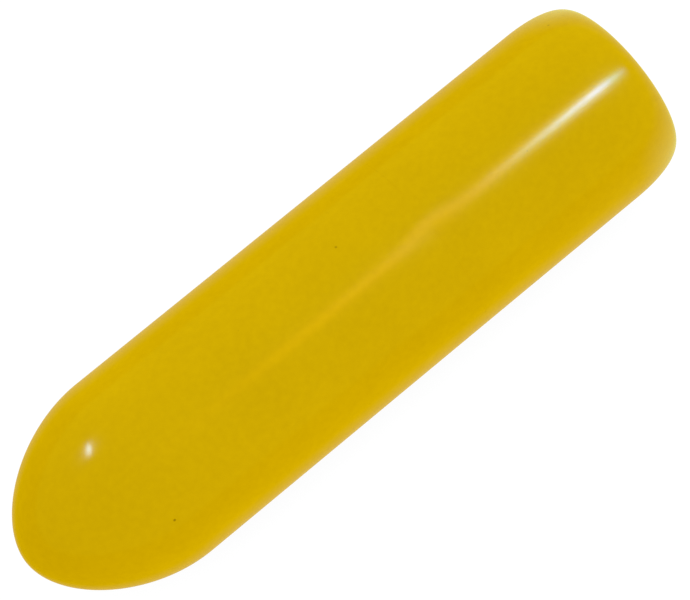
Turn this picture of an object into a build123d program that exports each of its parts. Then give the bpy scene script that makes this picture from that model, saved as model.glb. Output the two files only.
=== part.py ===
from build123d import *

import os
from math import asin, cos, sin

# Capsule shaker: a domed body shell and a flat-ended cap, joined at a spigot, with loose steel shot inside.
#
# Frame, in millimetres. The shaker lies on its side on the plane Z = 0. Its axis runs along X, with the flat
# end towards +X and the domed nose towards -X. The origin is the middle of its footprint on that plane.

# Outside of the capsule. Distances along the axis are measured from the flat end.
length = 146.4
radius = 20.0
nose_length = 27.9  # the dome, from the end of the straight barrel to its tip
nose_shoulder = 0.5  # how far the barrel's direction carries into the dome, as a share of nose_length
nose_bluntness = 0.477  # how far the tip's direction carries outwards, as a share of the radius
foot_radius = 15.7  # the flat that the shaker stands on when it is upright
shoulder_length = 12.0  # the soft corner between that flat and the barrel
shoulder_fullness = 0.6  # how square that corner is; 0.5523 would make it a quarter ellipse

# Moulded walls
wall = 2.0
corner_inside = 5.0  # soft inner corner of the flat end
corner_fullness = 0.5523  # the handle length that makes a cubic curve follow a quarter circle
recess_depth = 0.6  # hollow in the middle of the flat end, which leaves a ring to stand on
recess_radius = 11.0
recess_slope = 1.2
gate_radius = 0.9  # moulding gate, cut off short, in the middle of the recess
gate_height = 0.35

# Joint between the shells: the cap's spigot goes into the body's rebate
seam_at = 51.3
lip_wall = 1.0
spigot_length = 7.0
spigot_gap = 0.05
flash_trap = 0.4  # room past the end of the spigot for squeezed-out weld
lead_in = 0.3

# Loose steel shot, resting in rows along the bottom of the bore
shot_diameter = 4.5
shot_gap = 0.2  # between neighbours
shot_wall_gap = 0.15  # between a shot and the bore
shot_rows = 5
shots_per_row = 10
bed_centre = 63.1  # middle of the bed of shot, from the flat end

bore = radius - wall
nose_start = length - nose_length
floor_inside = recess_depth + wall
axis_line = Axis((0, 0, radius), (1, 0, 0))
section = Plane(origin=(length / 2, 0, radius), x_dir=(-1, 0, 0), z_dir=(0, 1, 0))

os.makedirs("parts", exist_ok=True)


def nose_curve(tip, side):
    """The dome's half section: it leaves the barrel at this radius and reaches the axis at this distance."""
    depth = tip - nose_start
    return [
        (nose_start, side),
        (nose_start + nose_shoulder * depth, side),
        (tip, nose_bluntness * side),
        (tip, 0),
    ]


def corner_curve(start, end, fullness):
    """A corner's half section: it leaves start square to the axis and arrives at end along the axis."""
    rise = fullness * (end[1] - start[1])
    run = fullness * (end[0] - start[0])
    return [start, (start[0], start[1] + rise), (end[0] - run, end[1]), end]


# Body shell: the long straight barrel and the domed nose, open at the seam
with BuildPart() as body_shell:
    with BuildSketch(section):
        with BuildLine():
            Bezier(*nose_curve(length, radius))
            Line((length, 0), (length - wall, 0))
            Bezier(*nose_curve(length - wall, bore))
            rebate_end = seam_at + spigot_length + flash_trap
            Polyline(
                (nose_start, bore),
                (rebate_end, bore),
                (rebate_end, radius - lip_wall),
                (seam_at, radius - lip_wall),
                (seam_at, radius),
                (nose_start, radius),
            )
        make_face()
    revolve(axis=axis_line)
body_shell.part.label = "body_shell"
export_step(body_shell.part, "parts/body_shell.step")

# End cap: the flat end, the soft corner round it, the short barrel and the spigot
with BuildPart() as end_cap:
    with BuildSketch(section):
        with BuildLine():
            spigot_outside = radius - lip_wall - spigot_gap
            spigot_end = seam_at + spigot_length
            Polyline(
                (floor_inside, 0),
                (recess_depth - gate_height, 0),
                (recess_depth - gate_height, gate_radius),
                (recess_depth, gate_radius),
                (recess_depth, recess_radius),
                (0, recess_radius + recess_slope),
                (0, foot_radius),
            )
            Bezier(*corner_curve((0, foot_radius), (shoulder_length, radius), shoulder_fullness))
            Polyline(
                (shoulder_length, radius),
                (seam_at, radius),
                (seam_at, spigot_outside),
                (spigot_end - lead_in, spigot_outside),
                (spigot_end, spigot_outside - lead_in),
                (spigot_end, bore),
                (floor_inside + corner_inside, bore),
            )
            corner_start = (floor_inside, bore - corner_inside)
            corner_end = (floor_inside + corner_inside, bore)
            Bezier(*corner_curve(corner_start, corner_end, corner_fullness))
            Line(corner_start, (floor_inside, 0))
        make_face()
    revolve(axis=axis_line)
end_cap.part.label = "end_cap"
export_step(end_cap.part, "parts/end_cap.step")

# Shot: every ball is a piece of its own. The rows lie side by side round the bottom of the bore, each in a
# lane wide enough to let it run the length of the chamber past its neighbours.
shot_radius = shot_diameter / 2
pitch = shot_diameter + shot_gap
lane_radius = bore - shot_radius - shot_wall_gap
lane_angle = 2 * asin(pitch / 2 / lane_radius)
middle_row = (shot_rows - 1) / 2

for row in range(shot_rows):
    lean = (row - middle_row) * lane_angle
    stagger = pitch / 4 if row % 2 else -pitch / 4
    for number in range(shots_per_row):
        along = bed_centre + stagger + (number - (shots_per_row - 1) / 2) * pitch
        centre = (length / 2 - along, lane_radius * sin(lean), radius - lane_radius * cos(lean))
        with BuildPart() as shot:
            with Locations(centre):
                Sphere(shot_radius)
        name = f"shot_row{row + 1}_ball{number + 1:02d}"
        shot.part.label = name
        export_step(shot.part, f"parts/{name}.step")
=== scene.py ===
import math

import bmesh
import bpy
from mathutils import Matrix, Vector


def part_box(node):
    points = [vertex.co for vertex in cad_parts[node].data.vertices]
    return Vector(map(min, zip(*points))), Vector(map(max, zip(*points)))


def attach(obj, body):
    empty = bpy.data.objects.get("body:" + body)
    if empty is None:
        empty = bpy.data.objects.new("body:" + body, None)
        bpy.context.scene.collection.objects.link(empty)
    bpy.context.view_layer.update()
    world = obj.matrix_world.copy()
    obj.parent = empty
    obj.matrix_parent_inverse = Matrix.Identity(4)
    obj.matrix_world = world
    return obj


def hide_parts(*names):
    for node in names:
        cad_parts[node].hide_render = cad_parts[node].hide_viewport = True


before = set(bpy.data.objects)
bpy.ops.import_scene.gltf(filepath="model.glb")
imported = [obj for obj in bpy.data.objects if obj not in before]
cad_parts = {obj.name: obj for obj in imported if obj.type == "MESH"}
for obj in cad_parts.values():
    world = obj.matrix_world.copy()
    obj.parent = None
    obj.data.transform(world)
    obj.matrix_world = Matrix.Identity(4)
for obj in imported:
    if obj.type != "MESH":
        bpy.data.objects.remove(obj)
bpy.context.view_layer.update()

# Looks of the capsule shaker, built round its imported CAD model: a domed body shell and a flat-ended cap of
# glossy yellow plastic, with loose steel shot inside. Everything is in metres, in the model's frame. The axis
# runs along X, with the flat end towards +X. An angle round the barrel starts at the top, +Z, and grows
# towards +Y.

MM = 0.001

# Sizes that the frame gives
body_low, body_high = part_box("body_shell")
cap_low, cap_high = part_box("end_cap")
RADIUS = (body_high.z - body_low.z) / 2
AXIS_Y = (body_high.y + body_low.y) / 2
AXIS_Z = (body_high.z + body_low.z) / 2
FLAT_X = cap_high.x
TIP_X = body_low.x
SEAM_X = body_high.x
SPIGOT_X = cap_low.x
CENTRE = Vector(((FLAT_X + TIP_X) / 2, AXIS_Y, AXIS_Z))

# Sizes of the moulded shells, as in the CAD model
WALL = 2.0 * MM
NOSE_LENGTH = 27.9 * MM
NOSE_SHOULDER = 0.5
NOSE_BLUNTNESS = 0.477
FOOT_RADIUS = 15.7 * MM
SHOULDER_LENGTH = 12.0 * MM
SHOULDER_FULLNESS = 0.6
CORNER_INSIDE = 5.0 * MM
CORNER_FULLNESS = 0.5523
RECESS_DEPTH = 0.6 * MM
RECESS_RADIUS = 11.0 * MM
RECESS_SLOPE = 1.2 * MM
GATE_RADIUS = 0.9 * MM
GATE_HEIGHT = 0.35 * MM
LIP_WALL = 1.0 * MM
SPIGOT_GAP = 0.05 * MM
FLASH_TRAP = 0.4 * MM
LEAD_IN = 0.3 * MM
BORE = RADIUS - WALL
NOSE_START_X = TIP_X + NOSE_LENGTH

# The camera: which way it looks, and where it stands
AZIMUTH = math.radians(-40.35)
ELEVATION = math.radians(74.44)
DISTANCE = 26.7 * RADIUS
OFFSET_RIGHT = 0.146 * RADIUS
OFFSET_UP = 0.1451 * RADIUS
LENS = 147.4
SENSOR = 36.0
CLIP_START = 0.01
LEVEL = Vector((math.sin(AZIMUTH), -math.cos(AZIMUTH), 0))
BACK = LEVEL * math.cos(ELEVATION) + Vector((0, 0, math.sin(ELEVATION)))
RIGHT = Vector((math.cos(AZIMUTH), math.sin(AZIMUTH), 0))
UP = BACK.cross(RIGHT)
FACING = math.atan2(BACK.y, BACK.z)  # the angle round the barrel that faces the camera

# Fine shape that the CAD model leaves out
SEGMENTS = 240
EDGE = 0.015 * MM  # the rims at the seam are broken by this much, which leaves a hairline
WARP_X = SEAM_X - 0.4 * MM  # the shells met a little unevenly here, which bends the highlight
WARP_ANGLE = FACING + math.radians(6.0)
WARP_TILT = 0.075
WARP_LENGTH = 3.4 * MM
WARP_WIDTH = 2.8 * MM
SINK_DEPTH = 0.14 * MM  # a wide shallow sink under it
SINK_LENGTH = 13 * MM
SINK_WIDTH = 9 * MM
FINE_REACH = 16 * MM  # the meshes are finer within this distance of the seam
SHARP_ANGLE = math.radians(40)


# ---------------------------------------------------------------- half sections: (x, distance from the axis)

def straight(start, end, steps):
    """Points along a straight line, without its start."""
    return [tuple(start[k] + (end[k] - start[k]) * i / steps for k in (0, 1)) for i in range(1, steps + 1)]


def cubic(start, handle_a, handle_b, end, steps):
    """Points along a cubic curve, without its start."""
    points = []
    for i in range(1, steps + 1):
        t = i / steps
        u = 1 - t
        weights = (u * u * u, 3 * u * u * t, 3 * u * t * t, t * t * t)
        corners = (start, handle_a, handle_b, end)
        points.append(tuple(sum(w * p[k] for w, p in zip(weights, corners)) for k in (0, 1)))
    return points


def nose(tip, side, steps):
    """The dome, from the end of the barrel to the axis."""
    depth = NOSE_START_X - tip
    shoulder = (NOSE_START_X - NOSE_SHOULDER * depth, side)
    return cubic((NOSE_START_X, side), shoulder, (tip, NOSE_BLUNTNESS * side), (tip, 0.0), steps)


def corner(start, end, fullness, steps):
    """A soft corner: it leaves start square to the axis and arrives at end along the axis."""
    rise = fullness * (end[1] - start[1])
    run = fullness * (end[0] - start[0])
    return cubic(start, (start[0], start[1] + rise), (end[0] - run, end[1]), end, steps)


def body_shell_section():
    """From the seam along the outside to the tip, and back along the inside to the rebate."""
    rebate_end = SPIGOT_X - FLASH_TRAP
    lip = RADIUS - LIP_WALL
    points = [(SEAM_X, RADIUS - EDGE), (SEAM_X - EDGE, RADIUS)]
    points += straight(points[-1], (SEAM_X - FINE_REACH, RADIUS), 32)
    points += straight(points[-1], (NOSE_START_X, RADIUS), 24)
    points += nose(TIP_X, RADIUS, 80)
    inside = [(NOSE_START_X, BORE)] + nose(TIP_X + WALL, BORE, 40)
    points += inside[::-1]
    points += straight(points[-1], (rebate_end, BORE), 12)
    points += [(rebate_end, lip), (SEAM_X, lip)]
    return points


def end_cap_section():
    """From the gate over the flat end and the barrel to the seam, the spigot, and back along the inside."""
    face = FLAT_X - RECESS_DEPTH
    floor_inside = face - WALL
    spigot = RADIUS - LIP_WALL - SPIGOT_GAP
    corner_start = (floor_inside, BORE - CORNER_INSIDE)
    corner_end = (floor_inside - CORNER_INSIDE, BORE)
    points = [(face + GATE_HEIGHT, 0.0), (face + GATE_HEIGHT, GATE_RADIUS), (face, GATE_RADIUS)]
    points += straight(points[-1], (face, RECESS_RADIUS), 8)
    points += straight(points[-1], (FLAT_X, RECESS_RADIUS + RECESS_SLOPE), 4)
    points += straight(points[-1], (FLAT_X, FOOT_RADIUS), 4)
    points += corner(points[-1], (FLAT_X - SHOULDER_LENGTH, RADIUS), SHOULDER_FULLNESS, 40)
    points += straight(points[-1], (SEAM_X + FINE_REACH, RADIUS), 20)
    points += straight(points[-1], (SEAM_X + EDGE, RADIUS), 32)
    points += [(SEAM_X, RADIUS - EDGE), (SEAM_X, spigot)]
    points += [(SPIGOT_X + LEAD_IN, spigot), (SPIGOT_X, spigot - LEAD_IN), (SPIGOT_X, BORE)]
    points += straight(points[-1], corner_end, 10)
    points += ([corner_start] + corner(corner_start, corner_end, CORNER_FULLNESS, 16))[-2::-1]
    points += [(floor_inside, 0.0)]
    return points


# ---------------------------------------------------------------- shells

def relief(x, angle):
    """How far the outside stands above a true cylinder.

    It is a tilt at the weld, in a wider sink that keeps it below the cylinder.
    """
    along = x - WARP_X
    across = (angle - WARP_ANGLE) * RADIUS
    tilt = WARP_TILT * across * math.exp(-0.5 * ((along / WARP_LENGTH) ** 2 + (across / WARP_WIDTH) ** 2))
    return tilt - SINK_DEPTH * math.exp(-0.5 * ((along / SINK_LENGTH) ** 2 + (across / SINK_WIDTH) ** 2))


def outwards(angle):
    """The direction away from the axis at this angle round the barrel."""
    return Vector((0, math.sin(angle), math.cos(angle)))


def turned(name, section):
    """A solid turned from a half section, which starts and ends on the axis or closes on itself.

    Only the rings at full radius, on the outside of the barrel, get the relief.
    """
    mesh = bpy.data.meshes.new(name)
    bm = bmesh.new()
    rings = []
    for x, r in section:
        middle = Vector((x, AXIS_Y, AXIS_Z))
        if r == 0.0:
            rings.append([bm.verts.new(middle)])
            continue
        ring = []
        for i in range(SEGMENTS):
            angle = 2 * math.pi * i / SEGMENTS - math.pi
            height = relief(x, angle) if r > RADIUS - 2 * EDGE else 0.0
            ring.append(bm.verts.new(middle + outwards(angle) * (r + height)))
        rings.append(ring)
    following = rings[1:] if len(rings[0]) == 1 else rings[1:] + rings[:1]
    for a, b in zip(rings, following):
        for i in range(SEGMENTS):
            j = (i + 1) % SEGMENTS
            corners = [a[i % len(a)], a[j % len(a)], b[j % len(b)], b[i % len(b)]]
            different = list(dict.fromkeys(corners))
            if len(different) > 2:
                bm.faces.new(different)
    bmesh.ops.recalc_face_normals(bm, faces=bm.faces)
    bm.to_mesh(mesh)
    bm.free()
    mesh.shade_smooth()
    mesh.set_sharp_from_angle(angle=SHARP_ANGLE)
    return mesh


# ---------------------------------------------------------------- materials

def new_material(name):
    """A material, its tree, its shader, and the coordinates that are fixed to the object."""
    material = bpy.data.materials.new(name)
    material.use_nodes = True
    tree = material.node_tree
    at = tree.nodes.new("ShaderNodeTexCoord").outputs["Object"]
    return material, tree, tree.nodes["Principled BSDF"], at


def noise(tree, at, scale, detail):
    node = tree.nodes.new("ShaderNodeTexNoise")
    node.inputs["Scale"].default_value = scale
    node.inputs["Detail"].default_value = detail
    tree.links.new(at, node.inputs["Vector"])
    return node.outputs["Fac"]


def remap(tree, value, from_low, from_high, to_low, to_high):
    """A value brought evenly from one range to another, and kept inside it."""
    node = tree.nodes.new("ShaderNodeMapRange")
    node.inputs["From Min"].default_value = from_low
    node.inputs["From Max"].default_value = from_high
    node.inputs["To Min"].default_value = to_low
    node.inputs["To Max"].default_value = to_high
    tree.links.new(value, node.inputs["Value"])
    return node.outputs["Result"]


def ramp(tree, value, stops):
    """A colour for each value, from a list of (value, colour)."""
    node = tree.nodes.new("ShaderNodeValToRGB")
    elements = node.color_ramp.elements
    while len(elements) < len(stops):
        elements.new(0.5)
    for element, (position, colour) in zip(elements, stops):
        element.position = position
        element.color = (*colour, 1)
    tree.links.new(value, node.inputs["Fac"])
    return node.outputs["Color"]


def blend_colours(tree, share, a, b, mode="MIX"):
    """Colour a, with this share of b mixed in or multiplied on. Each may be a value or a socket."""
    node = tree.nodes.new("ShaderNodeMix")
    node.data_type = "RGBA"
    node.blend_type = mode
    for socket, value in ((0, share), (6, a), (7, b)):
        if isinstance(value, bpy.types.NodeSocket):
            tree.links.new(value, node.inputs[socket])
        else:
            node.inputs[socket].default_value = value
    return node.outputs[2]


def slope(tree, at, direction, middle):
    """A value that grows evenly in one direction, from this much in the middle."""
    dot = tree.nodes.new("ShaderNodeVectorMath")
    dot.operation = "DOT_PRODUCT"
    dot.inputs[1].default_value = direction
    tree.links.new(at, dot.inputs[0])
    total = tree.nodes.new("ShaderNodeMath")
    total.inputs[1].default_value = middle
    tree.links.new(dot.outputs["Value"], total.inputs[0])
    return total.outputs[0]


def product(tree, a, b):
    node = tree.nodes.new("ShaderNodeMath")
    node.operation = "MULTIPLY"
    tree.links.new(a, node.inputs[0])
    tree.links.new(b, node.inputs[1])
    return node.outputs[0]


def axis_values(tree, vector):
    """The X, Y and Z of a vector, by name."""
    node = tree.nodes.new("ShaderNodeSeparateXYZ")
    tree.links.new(vector, node.inputs[0])
    return node.outputs


def bump(tree, shader, height, size, before=None):
    """Fine relief in the shading, this deep, on top of the bump that came before."""
    node = tree.nodes.new("ShaderNodeBump")
    node.inputs["Strength"].default_value = 1.0
    node.inputs["Distance"].default_value = size
    tree.links.new(height, node.inputs["Height"])
    if before is not None:
        tree.links.new(before, node.inputs["Normal"])
    tree.links.new(node.outputs["Normal"], shader.inputs["Normal"])
    return node.outputs["Normal"]


def specks(tree, at):
    """A few dark grains caught in the plastic: 1 inside a grain, 0 elsewhere."""
    cells = tree.nodes.new("ShaderNodeTexVoronoi")
    cells.inputs["Scale"].default_value = 90
    tree.links.new(at, cells.inputs["Vector"])
    inside = remap(tree, cells.outputs["Distance"], 0.014, 0.030, 1.0, 0.0)
    return product(tree, inside, cells.outputs["Color"])


def yellow_plastic():
    """Glossy opaque yellow moulding: faint mottle, uneven polish, orange peel, and a few dark specks."""
    material, tree, shader, at = new_material("yellow_plastic")
    deep, pale = (0.607, 0.380, 0.0), (0.630, 0.398, 0.0)
    darker, lighter = (0.975, 0.97, 1.0), (1.025, 1.03, 1.0)
    speck = (0.16, 0.075, 0.02)
    flow_depth, peel_depth = 0.006 * MM, 0.0026 * MM
    mottle = ramp(tree, noise(tree, at, 55, 4), [(0.3, deep), (0.7, pale)])
    grain = ramp(tree, noise(tree, at, 700, 6), [(0.3, darker), (0.7, lighter)])
    yellow = blend_colours(tree, 1.0, mottle, grain, "MULTIPLY")
    tree.links.new(blend_colours(tree, specks(tree, at), yellow, (*speck, 1)), shader.inputs["Base Color"])
    tree.links.new(remap(tree, noise(tree, at, 260, 3), 0.3, 0.7, 0.13, 0.16), shader.inputs["Roughness"])
    flow = bump(tree, shader, noise(tree, at, 230, 2), flow_depth)
    bump(tree, shader, noise(tree, at, 1500, 2), peel_depth, flow)
    shader.inputs["IOR"].default_value = 1.5
    return material


def shot_steel():
    """Tumbled steel: grey with a little bloom, and a roughness that varies over each ball."""
    material, tree, shader, at = new_material("shot_steel")
    dull, bright = (0.50, 0.49, 0.47), (0.66, 0.65, 0.63)
    bloom = ramp(tree, noise(tree, at, 700, 4), [(0.3, dull), (0.7, bright)])
    tree.links.new(bloom, shader.inputs["Base Color"])
    tree.links.new(remap(tree, noise(tree, at, 2500, 3), 0.3, 0.7, 0.14, 0.34), shader.inputs["Roughness"])
    bump(tree, shader, noise(tree, at, 3000, 2), 0.004 * MM)
    shader.inputs["Metallic"].default_value = 1.0
    return material


# ---------------------------------------------------------------- pieces

plastic = yellow_plastic()
steel = shot_steel()

for piece_name, node_name, section in (
    ("domed_body", "body_shell", body_shell_section()),
    ("flat_end_cap", "end_cap", end_cap_section()),
):
    piece = bpy.data.objects.new(piece_name, turned(piece_name, section))
    bpy.context.scene.collection.objects.link(piece)
    piece.data.materials.append(plastic)
    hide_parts(node_name)
    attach(piece, "shell")

for name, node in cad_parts.items():
    if name.startswith("shot_"):
        node.data.materials.clear()
        node.data.materials.append(steel)

# ---------------------------------------------------------------- camera

camera_data = bpy.data.cameras.new("camera")
camera_data.lens = LENS
camera_data.sensor_width = SENSOR
camera_data.clip_start = CLIP_START
camera = bpy.data.objects.new("camera", camera_data)
bpy.context.scene.collection.objects.link(camera)
camera.location = CENTRE + BACK * DISTANCE + RIGHT * OFFSET_RIGHT + UP * OFFSET_UP
camera.rotation_mode = "QUATERNION"
camera.rotation_quaternion = BACK.to_track_quat("Z", "Y")
bpy.context.scene.camera = camera

# ---------------------------------------------------------------- floor and backdrop

WHITE = (1.0, 1.0, 1.0)
BLACK = (0.0, 0.0, 0.0)
BOUNCE = (1.13, 1.03, 0.0)
BOUNCE_DEPTH = 1 * MM
STAGE_RADIUS = 3.0
STAGE_SEGMENTS = 64
STAGE_STRENGTH = 1.04
GAP_REACH = 18 * MM  # painted shadow: the floor darkens where something is nearer than this
BACKDROP_ARCH = (84, 70, 55, 40, 25, 10, 0)  # degrees above the floor, from the middle of the stage


def glowing(name, colour):
    """A material that is lit only by itself."""
    material, tree, shader, at = new_material(name)
    shader.inputs["Base Color"].default_value = (*BLACK, 1)
    shader.inputs["Specular IOR Level"].default_value = 0.0
    shader.inputs["Emission Color"].default_value = (*colour, 1)
    shader.inputs["Emission Strength"].default_value = STAGE_STRENGTH
    return material, tree, shader, at


def staged(name, rings, material):
    """Part of the stage, from rings of (radius, height) round the origin, closed over its first ring.

    It casts no shadow and doesn't show in the gloss.
    """
    mesh = bpy.data.meshes.new(name)
    bm = bmesh.new()
    made = []
    for radius, height in rings:
        angles = [2 * math.pi * i / STAGE_SEGMENTS for i in range(STAGE_SEGMENTS)]
        made.append([bm.verts.new((radius * math.cos(a), radius * math.sin(a), height)) for a in angles])
    for a, b in zip(made, made[1:]):
        for i in range(STAGE_SEGMENTS):
            j = (i + 1) % STAGE_SEGMENTS
            bm.faces.new((a[i], a[j], b[j], b[i]))
    bm.faces.new(made[0])
    bm.to_mesh(mesh)
    bm.free()
    mesh.materials.append(material)
    thing = bpy.data.objects.new(name, mesh)
    bpy.context.scene.collection.objects.link(thing)
    thing.visible_glossy = False
    thing.visible_shadow = False
    return thing


# The floor glows white, with a painted contact shadow: it darkens a little in the narrow gap under the shaker
floor_material, floor_tree, floor_shader, _ = glowing("pale_floor", WHITE)
openness = floor_tree.nodes.new("ShaderNodeAmbientOcclusion")
openness.samples = 8
openness.inputs["Distance"].default_value = GAP_REACH
# Painted shadow: the floor's glow is turned down where ambient occlusion finds it closed in
shade = remap(floor_tree, openness.outputs["AO"], 0.2, 1.0, 0.93, 1.08)
floor_tree.links.new(shade, floor_shader.inputs["Emission Strength"])
floor = staged("floor", [(STAGE_RADIUS, 0.0)], floor_material)
floor.visible_diffuse = False

# What lights the shaker from below is a warm sheet just under the floor, brighter on the side of -Y
bounce_material, bounce_tree, bounce_shader, bounce_at = glowing("warm_bounce", BOUNCE)
across = axis_values(bounce_tree, bounce_at)["Y"]
uneven = remap(bounce_tree, across, -2 * RADIUS, 2 * RADIUS, 1.16, 0.92)
bounce_tree.links.new(uneven, bounce_shader.inputs["Emission Strength"])
bounce = staged("bounce", [(STAGE_RADIUS, -BOUNCE_DEPTH)], bounce_material)
bounce.visible_camera = False

backdrop_material, *_ = glowing("pale_backdrop", WHITE)
arch = [math.radians(a) for a in BACKDROP_ARCH]
backdrop = staged("backdrop", [(STAGE_RADIUS * math.cos(a), STAGE_RADIUS * math.sin(a)) for a in arch],
                  backdrop_material)
backdrop.visible_diffuse = False

# ---------------------------------------------------------------- light

LIGHT_DISTANCE = 0.35
DOME_STEPS = 400


def on_barrel(x, angle):
    """A place on the barrel, and its normal."""
    return Vector((x, AXIS_Y, AXIS_Z)) + outwards(angle) * RADIUS, outwards(angle)


def on_dome(depth, angle):
    """A place on the dome, this far from the tip along the axis, and its normal."""
    curve = [(NOSE_START_X, RADIUS)] + nose(TIP_X, RADIUS, DOME_STEPS)
    (x0, r0), (x1, r1) = next((a, b) for a, b in zip(curve, curve[1:]) if b[0] < TIP_X + depth)
    normal = Vector((r1 - r0, 0, 0)) + outwards(angle) * (x0 - x1)
    return Vector((x0, AXIS_Y, AXIS_Z)) + outwards(angle) * r0, normal.normalized()


def light_seen_in(name, spot, along, reach, width, radiance, colours, spread):
    """A rectangular light that adds gloss only, whose reflection the camera sees at one spot on the surface.

    The spot is a place and its normal. The light reaches from reach[0] to reach[1] past that reflection,
    along the direction given. Its radiance is how bright it looks from in front, times a colour for each
    distance along it, times one for each share of its width.
    """
    place, normal = spot
    to_camera = (camera.location - place).normalized()
    to_light = 2 * normal.dot(to_camera) * normal - to_camera
    first = (along - along.dot(to_light) * to_light).normalized()
    length = reach[1] - reach[0]
    data = bpy.data.lights.new(name, "AREA")
    data.shape = "RECTANGLE"
    data.size = length
    data.size_y = width
    data.energy = radiance * math.pi * length * width
    data.use_nodes = True
    tree = data.node_tree
    sides = axis_values(tree, tree.nodes.new("ShaderNodeNewGeometry").outputs["Parametric"])
    lengthways = ramp(tree, sides["X"], [((d - reach[0]) / length, c) for d, c in colours])
    crossways = ramp(tree, sides["Y"], spread)
    colour = blend_colours(tree, 1.0, lengthways, crossways, "MULTIPLY")
    tree.links.new(colour, tree.nodes["Emission"].inputs["Color"])
    light = bpy.data.objects.new(name, data)
    bpy.context.scene.collection.objects.link(light)
    turn = Matrix((first, to_light.cross(first), to_light)).transposed()
    middle = place + to_light * LIGHT_DISTANCE + first * (reach[0] + reach[1]) / 2
    light.matrix_world = Matrix.Translation(middle) @ turn.to_4x4()
    light.visible_camera = False
    light.visible_diffuse = False


# The key, a long soft box that runs off past the flat end and fades out at both ends. It is blue, because on
# the yellow that comes out white.
light_seen_in(
    "key", on_barrel(FLAT_X - 14 * MM, FACING + math.radians(2.6)),
    along=Vector((1, 0, 0)), reach=(-0.060, 0.320), width=0.132, radiance=38,
    colours=[
        (-0.042, BLACK),
        (-0.036, (0.0, 0.02, 0.01)),
        (-0.030, (0.01, 0.11, 0.12)),
        (-0.019, (0.03, 0.15, 0.18)),
        (-0.011, (0.10, 0.36, 0.42)),
        (-0.0055, (0.12, 0.39, 0.66)),
        (0.0, (0.22, 0.46, 0.92)),
        (0.050, (0.23, 0.42, 0.80)),
        (0.120, (0.07, 0.27, 0.36)),
        (0.250, (0.015, 0.06, 0.12)),
        (0.320, BLACK),
    ],
    spread=[
        (0.02, BLACK),
        (0.28, (0.34, 0.28, 0.14)),
        (0.5, WHITE),
        (0.68, (0.26, 0.20, 0.05)),
        (0.92, BLACK),
    ],
)

# The strip, a long dim lamp that draws the amber line down the barrel
light_seen_in(
    "strip", on_barrel(FLAT_X - 53 * MM, FACING + math.radians(1.8)),
    along=Vector((1, 0.3, 0)), reach=(-0.105, 0.085), width=0.110, radiance=3.4,
    colours=[
        (-0.105, BLACK),
        (-0.086, (0.15, 0.08, 0.0)),
        (-0.063, (0.6, 0.28, 0.0)),
        (-0.041, (0.9, 0.42, 0.0)),
        (-0.008, (0.9, 0.42, 0.06)),
    ],
    spread=[(0.05, BLACK), (0.5, WHITE), (0.95, BLACK)],
)

# The window, a small bright spot on the dome, blue for the same reason
light_seen_in(
    "window", on_dome(20.7 * MM, FACING + math.radians(27.3)),
    along=UP - 0.9 * RIGHT, reach=(-0.050, 0.050), width=0.038, radiance=48,
    colours=[(-0.050, BLACK), (0.0, (0.42, 0.70, 0.98)), (0.050, BLACK)],
    spread=[(0.1, BLACK), (0.4, WHITE), (0.65, (0.25, 0.22, 0.15)), (0.95, BLACK)],
)

# The rim, low down on the side of -Y: the warm glow along the lower edge of the barrel
light_seen_in(
    "rim", on_barrel(CENTRE.x, FACING - math.radians(61)),
    along=Vector((1, 0, 0)), reach=(-0.3, 0.3), width=0.3, radiance=0.18,
    colours=[(-0.3, BLACK), (-0.2, (1.0, 0.8, 0.0)), (0.3, (1.0, 0.8, 0.0))],
    spread=[(0.0, BLACK), (0.5, WHITE), (1.0, BLACK)],
)

# ---------------------------------------------------------------- surroundings

# They are warm above, so that the yellow stays clear. What lies under the horizon is seen only in the gloss
# near the outline, where the floor would be. It has a little blue straight down, and more low down beyond the
# flat end, which pales the rims there.
WARM = (1.0, 0.985, 0.02)
BELOW = (0.78, 0.60, 0.0)
FAR_BELOW = (0.70, 0.54, 0.20)
BEYOND = (0.82, 0.92, 0.42)
WORLD_STRENGTH = 0.985
WORLD_SLOPE = (0.16, 0.10, 0.0)  # a little brighter towards +X and +Y
DEPTH_AXIS = (-0.4, -0.2, 1)  # leaning, so that FAR_BELOW starts higher towards +X and +Y
BEYOND_AXIS = (1, 0, -1.6)

world = bpy.data.worlds.new("studio")
bpy.context.scene.world = world
world.use_nodes = True
world_tree = world.node_tree
background = world_tree.nodes["Background"]
direction = world_tree.nodes.new("ShaderNodeTexCoord").outputs["Generated"]
looking = axis_values(world_tree, direction)
height = remap(world_tree, looking["Z"], -1.0, 1.0, 0.0, 1.0)
sky = ramp(world_tree, height, [(0.49, BELOW), (0.51, WARM)])
depth = remap(world_tree, slope(world_tree, direction, DEPTH_AXIS, 0.0), -0.65, -1.0, 0.0, 1.0)
above_and_below = blend_colours(world_tree, depth, sky, (*FAR_BELOW, 1))
past_the_barrel = remap(world_tree, looking["X"], 0.26, 0.45, 0.0, 1.0)
low = remap(world_tree, slope(world_tree, direction, BEYOND_AXIS, 0.0), 0.45, 1.30, 0.0, 1.0)
share_beyond = product(world_tree, past_the_barrel, low)
surroundings = blend_colours(world_tree, share_beyond, above_and_below, (*BEYOND, 1))
world_tree.links.new(surroundings, background.inputs["Color"])
world_tree.links.new(slope(world_tree, direction, WORLD_SLOPE, WORLD_STRENGTH), background.inputs["Strength"])

bpy.context.scene.view_settings.view_transform = "Standard"
